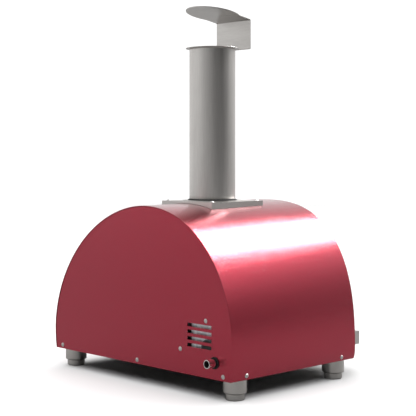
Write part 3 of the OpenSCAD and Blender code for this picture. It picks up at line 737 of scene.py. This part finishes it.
rainCap = {"thick": 1.5 * mm, "ringR": 58 * mm, "strapW": 104 * mm, "bend": 3 * mm, "tilt": 10.0,
           "lidR": 60 * mm, "lidOff": 2 * mm, "seat": 0.2 * mm, "slack": 0.3 * mm, "lap": 1.0 * mm,
           "columns": 20, "turns": 128, "edge": 0.3 * mm}


def capPath(strapY, top, ringZ, cy):
    # the sheet from just inside the ring's rim to the lid's tip: place and normal as (y, z), and half width
    bend, lidR, half = rainCap["bend"], rainCap["lidR"], rainCap["strapW"] / 2
    tilt = math.radians(rainCap["tilt"])
    # the lid's highest corner gives the height of the upper bend
    rise = (rainCap["lidOff"] + lidR * 2) * math.sin(tilt) + bend * math.cos(tilt)
    lowC = Vector((strapY + bend, ringZ + bend))
    highC = Vector((strapY + bend, top - rise))

    def onBend(c, a):
        return (c.x + bend * math.cos(a), c.y + bend * math.sin(a)), (math.cos(a), math.sin(a)), half

    start = cy - rainCap["ringR"] + rainCap["lap"]
    path = [((start + (lowC.x - start) * i / 6, ringZ), (0, -1), half) for i in range(7)]
    path += [onBend(lowC, math.radians(270 - 90 * i / 8)) for i in range(1, 9)]
    path += [((strapY, lowC.y + (highC.y - lowC.y) * i / 8), (-1, 0), half) for i in range(1, 8)]
    path += [onBend(highC, math.radians(180) - (math.radians(90) - tilt) * i / 8) for i in range(9)]
    along = Vector((math.cos(tilt), math.sin(tilt)))
    normal = Vector((-math.sin(tilt), math.cos(tilt)))
    centre = rainCap["lidOff"] + lidR
    join = centre - math.sqrt(lidR ** 2 - half ** 2)
    for i in range(1, 5):
        spot = highC + normal * bend + along * (join * i / 4)
        path.append((tuple(spot), tuple(normal), half))
    firstTurn = math.acos((centre - join) / lidR)
    for i in range(1, 41):
        a = firstTurn + (math.pi - firstTurn) * i / 40
        spot = highC + normal * bend + along * (centre - lidR * math.cos(a))
        path.append((tuple(spot), tuple(normal), max(lidR * math.sin(a), 0.4 * mm)))
    return path


def makeCapSheet(path, cx):
    bm = bmesh.new()
    n, t = rainCap["columns"], rainCap["thick"]
    outer, inner = [], []
    for (y, z), (ny, nz), w in path:
        columns = [-w + 2 * w * k / n for k in range(n + 1)]
        outer.append([bm.verts.new((cx + x, y, z)) for x in columns])
        inner.append([bm.verts.new((cx + x, y - ny * t, z - nz * t)) for x in columns])
    strips = list(zip(outer, outer[1:])) + list(zip(inner, inner[1:]))
    strips += [(outer[0], inner[0]), (outer[-1], inner[-1])]
    for a, b in strips:
        for k in range(n):
            bm.faces.new((a[k], a[k + 1], b[k + 1], b[k]))
    for side in (0, -1):
        for j in range(len(outer) - 1):
            bm.faces.new((outer[j][side], outer[j + 1][side], inner[j + 1][side], inner[j][side]))
    sheet = newPiece("capSheet", bm, "stainless", "cap", ["rain_cap"], sharp=30)
    softEdges(sheet, rainCap["edge"], angle=50)


def makeRainCap():
    low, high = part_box("rain_cap")
    pipeLow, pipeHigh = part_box("flue_pipe")
    cx, cy = (pipeLow.x + pipeHigh.x) / 2, (pipeLow.y + pipeHigh.y) / 2
    ringZ = pipeHigh.z + rainCap["seat"]
    makeCapSheet(capPath(low.y, high.z, ringZ, cy), cx)
    # the ring and its spigot in the pipe
    t, ringR, bottom = rainCap["thick"], rainCap["ringR"], low.z
    spigotR = (pipeHigh.x - pipeLow.x) / 2 - pipe["wall"] - rainCap["slack"]
    profile = rounded([(spigotR - t, bottom), (spigotR, bottom, 0.4 * mm), (spigotR, ringZ, 0.1 * mm),
                       (ringR, ringZ, 0.4 * mm), (ringR, ringZ + t, 0.5 * mm),
                       (spigotR - t, ringZ + t, 1.2 * mm), (spigotR - t, bottom)], 3)
    turned("capRing", profile[:-1], (cx, cy, 0), "Z", "stainless", "cap", (), "stainless",
           turns=rainCap["turns"], closed=True)
    print("rain cap made")


foot = {"chamfer": 2 * mm, "bore": 5.06 * mm, "boreTop": 3 * mm, "lip": 0.6 * mm, "gap": 0.5 * mm,
        "padEdge": 1.6 * mm, "padTopEdge": 0.8 * mm, "stem": 5 * mm, "stemEdge": 0.8 * mm,
        "pitch": 1.5 * mm, "threadDepth": 0.25 * mm, "turns": 112}


def makeFoot(place):
    low, high, c, r = roundBox("foot_" + place)
    bore, boreTop = foot["bore"], high.z - foot["boreTop"]
    cut, lip = foot["chamfer"], foot["lip"]
    sleeve = rounded([(bore, boreTop), (bore, low.z, 0.5 * mm), (r - cut, low.z, 0.5 * mm),
                      (r, low.z + cut, 0.8 * mm), (r, high.z - lip, 0.3 * mm), (r - lip, high.z, 0.2 * mm),
                      (0, high.z)])
    turned("footSleeve_" + place, [(0, boreTop)] + sleeve, (c.x, c.y, 0), "Z", "foot_steel", "oven",
           ["foot_" + place], "foot_steel", turns=foot["turns"])
    padLow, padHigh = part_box("pad_" + place)
    padR = (padHigh.x - padLow.x) / 2
    padTop = low.z - foot["gap"]
    edge, topEdge, stem, stemEdge = foot["padEdge"], foot["padTopEdge"], foot["stem"], foot["stemEdge"]
    pad = rounded([(0, padLow.z), (padR - edge, padLow.z, 0.6 * mm), (padR, padLow.z + edge, 0.8 * mm),
                   (padR, padTop - topEdge, 0.4 * mm), (padR - topEdge, padTop, 0.3 * mm),
                   (stem, padTop, 0.6 * mm), (stem, padHigh.z - stemEdge, 0.2 * mm),
                   (stem - stemEdge, padHigh.z, 0.2 * mm), (0, padHigh.z)])

    def thread(a, q, h):
        if h < padTop + 1 * mm:
            return q
        return q - foot["threadDepth"] * (0.5 + 0.5 * math.cos(a - h * 2 * math.pi / foot["pitch"]))

    turned("footPad_" + place, pad, (c.x, c.y, 0), "Z", "pad_steel", "pad_" + place, ["pad_" + place],
           "pad_steel", turns=foot["turns"], shape=thread)


def makeFeet():
    for place in ("rear_right", "rear_left", "front_right", "front_left"):
        makeFoot(place)
    print("feet and levelling pads made")


screw = {"head": 4.6 * mm, "high": 2.6 * mm, "socket": 1.6 * mm, "socketDepth": 1.5 * mm, "shank": 2.0 * mm,
         "point": 0.8 * mm, "turns": 36}


def islands(node):
    # the separate solids of a CAD node, each as (low, high)
    bm = bmesh.new()
    bm.from_mesh(frame["nodes"][node].data)
    bmesh.ops.remove_doubles(bm, verts=bm.verts, dist=0.002 * mm)
    left, found = set(bm.verts), []
    while left:
        stack = [left.pop()]
        group = []
        while stack:
            vert = stack.pop()
            group.append(vert.co.copy())
            for edge in vert.link_edges:
                other = edge.other_vert(vert)
                if other in left:
                    left.discard(other)
                    stack.append(other)
        low = Vector([min(p[k] for p in group) for k in range(3)])
        high = Vector([max(p[k] for p in group) for k in range(3)])
        found.append((low, high))
    bm.free()
    return sorted(found, key=lambda pair: tuple(round(q, 5) for q in pair[0]))


def screwProfile(length):
    head, high, socket, shank = screw["head"], screw["high"], screw["socket"], screw["shank"]
    dome = (head ** 2 + high ** 2) / (2 * high)
    deep = high - screw["socketDepth"]
    points = [(0, deep), (socket * 0.9, deep + 0.05 * mm), (socket, deep + 0.3 * mm)]
    start = math.asin(socket * 1.08 / dome)
    end = math.asin(min(1.0, head / dome))
    for i in range(9):
        a = start + (end - start) * i / 8
        points.append((dome * math.sin(a), high - dome + dome * math.cos(a)))
    points += [(head * 0.985, 0), (shank, 0.0), (shank, -length + screw["point"]), (shank * 0.5, -length),
               (0, -length)]
    return points


def hexSocket(a, r, h):
    # six flats in the socket, round elsewhere
    if r > screw["socket"] * 1.02 or h < 0:
        return r
    step = math.pi / 3
    return r * math.cos(step / 2) / math.cos((a % step) - step / 2) * 1.04


def makeScrews():
    # the side screws stand out of both sides, so theirs is worked out for each
    for node, axis, way in (("rear_screws", "Y", 1), ("facade_screws", "Y", -1), ("plate_screws", "Z", 1),
                            ("side_screws", "X", 0)):
        bm = bmesh.new()
        k = "XYZ".index(axis)
        for low, high in islands(node):
            c = (low + high) / 2
            out = way or (1 if c.x > 0 else -1)
            length = (high[k] - low[k]) - screw["high"]
            spot = [c.x, c.y, c.z]
            spot[k] = (high[k] - screw["high"]) if out > 0 else (low[k] + screw["high"])
            profile = [(r, h * out) for r, h in screwProfile(length)]
            lathe(bm, profile, spot, axis, turns=screw["turns"],
                  shape=lambda a, r, h, out=out: hexSocket(a, r, h * out))
        newPiece(node.replace("_s", "S"), bm, "screw_steel", bodyOf[node], [node], sharp=30)
    print("screws made")


inlet = {"wall": 1.6 * mm, "boreDepth": 20 * mm, "stepOut": 4 * mm, "neck": 0.5 * mm, "neckIn": 7 * mm,
         "tail": 6 * mm, "turns": 72}
grommet = {"fit": 0.2 * mm, "lip": 2.5 * mm, "groove": 1.0 * mm}


def makeInlet():
    low, high, c, r = roundBox("gas_inlet")
    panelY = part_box("rear_panel")[1].y
    tip = high.y
    bore, deep = r - inlet["wall"], tip - inlet["boreDepth"]
    neck, neckIn, stepOut = r - inlet["neck"], panelY - inlet["neckIn"], panelY + inlet["stepOut"]
    profile = [(0, deep), (bore, deep)]
    profile += rounded([(bore, deep + 0.1 * mm), (bore, tip, 0.5 * mm), (r, tip, 0.7 * mm),
                        (r, stepOut, 0.2 * mm), (neck, stepOut - 0.2 * mm)], 3)
    profile += [(neck, neckIn), (inlet["tail"], neckIn - 0.2 * mm), (inlet["tail"], low.y), (0, low.y)]
    turned("gasNipple", profile, (c.x, 0, c.z), "Y", "nipple", "oven", ["gas_inlet"], "nipple",
           turns=inlet["turns"])
    # a near-black lining inside the bore: painted shade for the dark inside of the open tube
    shade = [(0, deep + 0.5 * mm), (bore - 0.25 * mm, deep + 0.5 * mm), (bore - 0.05 * mm, tip - 1.2 * mm)]
    turned("nippleBoreShade", shade, (c.x, 0, c.z), "Y", "slotDark", "oven", turns=inlet["turns"])
    # the grommet stays centred on the nipple
    low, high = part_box("inlet_grommet")
    outer = (high.x - low.x) / 2
    bore, groove = r - grommet["fit"], outer - grommet["groove"]
    sheetFace = high.y - grommet["lip"]
    profile = rounded([(bore, low.y), (bore, high.y, 0.9 * mm), (outer, high.y, 1.5 * mm),
                       (outer, sheetFace, 0.3 * mm), (groove, sheetFace), (groove, low.y, 0.3 * mm),
                       (bore, low.y)])
    turned("inletGrommet", profile[:-1], (c.x, 0, c.z), "Y", "rubber", "oven", ["inlet_grommet"], "rubber",
           turns=inlet["turns"], closed=True)
    print("gas inlet made")


knob = {"skirt": 5 * mm, "step": 2 * mm, "bore": 3.1 * mm, "face": 4.5 * mm, "grooves": 24,
        "grooveDepth": 0.55 * mm, "ringEvery": 1.2 * mm, "turns": 192}
knobMark = {"wide": 1.6 * mm, "thick": 0.5 * mm, "share": 0.55, "edge": 0.15 * mm}


def makeKnob():
    low, high, c, r = roundBox("control_knob")
    front, rim, bore = low.y + 0.2 * mm, high.y - knob["skirt"], knob["bore"]
    back, gripR = low.y + knob["face"], r - knob["step"]

    def grip(a, q, h):
        if not low.y + 0.6 * mm < h < rim - 1 * mm:
            return q
        return q - knob["grooveDepth"] * (0.5 + 0.5 * math.cos(a * knob["grooves"]))

    profile = rounded([(0, front), (gripR, front, 1.2 * mm), (gripR, rim, 0.6 * mm), (r, rim, 0.8 * mm),
                       (r, high.y, 0.6 * mm), (bore, high.y, 0.3 * mm), (bore, back), (0, back)])
    # more rings along the long stretches, for the grooves
    fine = []
    for p, q in zip(profile, profile[1:]):
        steps = max(1, int(abs(q[1] - p[1]) / knob["ringEvery"]))
        fine += [Vector(p).lerp(Vector(q), i / steps) for i in range(steps)]
    fine.append(profile[-1])
    turned("knobGrip", fine, (c.x, 0, c.z), "Y", "black_plastic", "knob", ["control_knob"], "black_plastic",
           turns=knob["turns"], shape=grip)
    bm = bmesh.new()
    long = r * knobMark["share"]
    spot = Matrix.Translation((c.x, low.y + knobMark["thick"] / 2, c.z + long))
    size = Matrix.Diagonal((knobMark["wide"], knobMark["thick"], long, 1))
    bmesh.ops.create_cube(bm, size=1, matrix=spot @ size)
    bmesh.ops.bevel(bm, geom=list(bm.edges), offset=knobMark["edge"], segments=2, affect="EDGES")
    newPiece("knobMark", bm, "white", "knob")


igniter = {"fit": 0.06 * mm, "deep": 10 * mm, "barrel": 6.9 * mm, "turns": 72}


def makeIgniter():
    low, high, c, r = roundBox("igniter_button")
    profile = rounded([(0, low.y + 0.7 * mm), (r * 0.55, low.y + 0.5 * mm, 1 * mm),
                       (r - 0.6 * mm, low.y, 0.5 * mm), (r, low.y + 0.8 * mm, 0.5 * mm),
                       (r, high.y, 0.4 * mm), (0, high.y)])
    turned("igniterCap", profile, (c.x, 0, c.z), "Y", "button_plastic", "button", ["igniter_button"],
           "button_plastic", turns=igniter["turns"])
    low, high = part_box("igniter_body")
    collar, bore, barrel = (high.x - low.x) / 2, r + igniter["fit"], igniter["barrel"]
    deep = high.y - igniter["deep"]
    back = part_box("front_shelf")[0].y - 0.1 * mm
    profile = rounded([(0, deep), (bore, deep), (bore, low.y, 0.4 * mm), (collar, low.y, 0.8 * mm),
                       (collar, back, 0.3 * mm), (barrel, back, 0.1 * mm), (barrel, high.y, 0.6 * mm),
                       (0, high.y)])
    turned("igniterBarrel", profile, (c.x, 0, c.z), "Y", "black_plastic", "oven", ["igniter_body"],
           "black_plastic", turns=igniter["turns"])
    print("knob and igniter made")


meter = {"wall": 1.5 * mm, "backThick": 1.2 * mm, "stem": 5 * mm, "turns": 112, "glassTurns": 96}
ticks = {"count": 19, "longEvery": 3, "start": 225.0, "sweep": 270.0, "inset": 1.4 * mm, "thick": 0.1 * mm,
         "short": (0.4 * mm, 2.2 * mm), "long": (0.7 * mm, 4.2 * mm)}


def makeThermometer():
    low, high, c, r = roundBox("thermometer_case")
    face, wall, stem = low.y, r - meter["wall"], meter["stem"]
    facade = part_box("front_facade")[0].y
    inner, back = facade - meter["backThick"], facade - 0.1 * mm
    profile = rounded([(0, inner), (wall, inner), (wall, face + 0.8 * mm, 0.4 * mm),
                       (wall + 0.4 * mm, face, 0.3 * mm),
                       (r - 0.7 * mm, face, 0.6 * mm), (r, face + 1.2 * mm, 0.8 * mm), (r, back, 0.2 * mm),
                       (stem, back), (stem, high.y, 1.5 * mm), (0, high.y)])
    turned("meterCase", profile, (c.x, 0, c.z), "Y", "stainless", "oven", ["thermometer_case"], "stainless",
           turns=meter["turns"])
    bm = bmesh.new()
    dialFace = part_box("thermometer_dial")[0].y
    for i in range(ticks["count"]):
        wide, long = ticks["short"] if i % ticks["longEvery"] else ticks["long"]
        a = math.radians(ticks["start"] - ticks["sweep"] * i / (ticks["count"] - 1))
        far = wall - ticks["inset"] - long / 2
        spot = Matrix.Translation((c.x + far * math.cos(a), dialFace - 0.03 * mm, c.z + far * math.sin(a)))
        turn = Matrix.Rotation(-(a - math.pi / 2), 4, "Y")
        size = Matrix.Diagonal((wide, ticks["thick"], long, 1))
        bmesh.ops.create_cube(bm, size=1, matrix=spot @ turn @ size)
    newPiece("meterTicks", bm, "tick", "oven", sharp=20)
    low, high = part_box("thermometer_glass")
    r = (high.x - low.x) / 2
    profile = rounded([(0, low.y), (r, low.y + 0.3 * mm, 0.2 * mm), (r, high.y, 0.2 * mm), (0, high.y)])
    turned("meterGlass", profile, (c.x, 0, c.z), "Y", "glass", "oven", ["thermometer_glass"], "glass",
           turns=meter["glassTurns"])
    print("thermometer made")


# the mixing tube's mouth, seen through the louvres: a rim, and a painted shade disc for the hole
mixer = {"off": (-15 * mm, -19 * mm), "radius": 18 * mm, "wall": 2.2 * mm, "proud": 1.6 * mm,
         "sunk": 0.5 * mm, "turns": 72}


def makeMixerMouth():
    low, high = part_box("burner_tube")
    tube = (low + high) / 2
    place = (tube.x + mixer["off"][0], 0, tube.z + mixer["off"][1])
    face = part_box("louvre_baffle")[1].y
    r, inner = mixer["radius"], mixer["radius"] - mixer["wall"]
    low, high = face - mixer["sunk"], face + mixer["proud"]
    rim = rounded([(inner, low), (inner, high, 0.7 * mm), (r, high, 0.7 * mm), (r, low), (inner, low)], 3)
    turned("mixerRim", rim[:-1], place, "Y", "tray_steel", "oven", turns=mixer["turns"], closed=True)
    # a near-black disc on the baffle inside the rim: painted shade for the hole of the tube
    depth = [(0, face + 0.15 * mm), (inner - 0.05 * mm, face + 0.3 * mm)]
    turned("mixerShadeDisc", depth, place, "Y", "slotDark", "oven", turns=mixer["turns"])
    print("mixer mouth made")


ropeSeal = {"bore": 48.9 * mm, "turns": 128}


def makeRopeSeal():
    low, high, c, r = roundBox("flue_gasket")
    bore = ropeSeal["bore"]
    profile = rounded([(bore, low.z), (r, low.z, 0.9 * mm), (r, high.z, 0.9 * mm), (bore, high.z, 0.4 * mm),
                       (bore, low.z)])
    turned("ropeSeal", profile[:-1], (c.x, c.y, 0), "Z", "gasket", "oven", ["flue_gasket"], "gasket",
           turns=ropeSeal["turns"], closed=True)
    print("rope seal made")


# how far the edges of CAD nodes are rounded, in millimetres
softWidths = {
    "rear_panel": 0.35, "front_facade": 0.35, "mouth_trim": 0.5, "front_shelf": 0.6, "flue_plate": 0.5,
    "base_tray": 0.5, "hearth_tile_left": 1.5, "hearth_tile_right": 1.5, "burner_box": 0.3,
    "louvre_baffle": 0.3, "flame_guard": 0.3, "gas_valve": 0.8, "hearth_pan": 0.4, "inlet_nut": 0.4,
    "floor_insulation": 2.0}


def dress(node):
    # a CAD node keeps its shape and gets soft edges and its slot's finish
    piece = frame["nodes"][node]
    if node in softWidths:
        weld = piece.modifiers.new("weld", "WELD")
        weld.merge_threshold = 0.002 * mm
        flat = piece.modifiers.new("flatFaces", "DECIMATE")
        flat.decimate_type = "DISSOLVE"
        flat.angle_limit = math.radians(0.5)
        softEdges(piece, softWidths[node] * mm)
        piece.modifiers.new("evenShade", "WEIGHTED_NORMAL").keep_sharp = True
    piece.data.materials.clear()
    piece.data.materials.append(materials[slotOf[node]])


def dressFrame():
    gone = set()
    for piece in scene.objects:
        if "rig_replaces" in piece:
            gone.update(piece["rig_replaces"])
    for node in frame["nodes"]:
        if node not in gone:
            dress(node)
    print("frame nodes dressed:", len(frame["nodes"]) - len(gone))


makeCamera()
makeEffects()
makeMaterials()
makeStudio()
makeVault()
makeFluePipe()
makeRainCap()
makeFeet()
makeScrews()
makeInlet()
makeKnob()
makeIgniter()
makeThermometer()
makeRopeSeal()
makeMixerMouth()
dressFrame()
